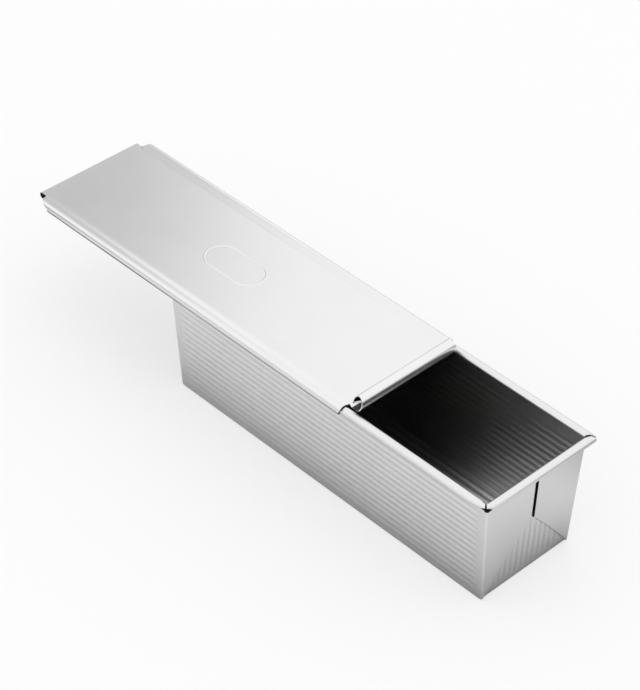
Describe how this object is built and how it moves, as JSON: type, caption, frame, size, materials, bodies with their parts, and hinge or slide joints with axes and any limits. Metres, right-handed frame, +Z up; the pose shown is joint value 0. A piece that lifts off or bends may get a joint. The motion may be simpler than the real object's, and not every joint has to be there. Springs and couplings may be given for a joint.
{
  "type": "pullman loaf pan",
  "caption": "Long square-sided loaf pan of folded fluted sheet steel with wired rolled rims and a flat lid that slides on along the rims.",
  "frame": {"origin": "middle of the flat underside of the pan", "axes": "+X along the pan towards the end where the lid's handle closes, +Y across it, +Z up"},
  "size_m": [0.5002, 0.1178, 0.1146],
  "materials": {
    "pan_steel": "satin aluminised sheet steel, pressed into fine flutes",
    "rim_wire": "drawn steel wire",
    "lid_steel": "smooth satin aluminised sheet steel"
  },
  "bodies": {
    "pan": {"pan_sheet": "pan_steel", "rim_wire_front": "rim_wire", "rim_wire_back": "rim_wire", "rim_wire_handle_end": "rim_wire", "rim_wire_stop_end": "rim_wire"},
    "lid": {"lid_sheet": "lid_steel"}
  },
  "joints": [
    {"name": "lid_slide", "type": "slide", "parent": "pan", "child": "lid", "axis": [1, 0, 0], "range_m": [-0.215, 0.1504]}
  ]
}
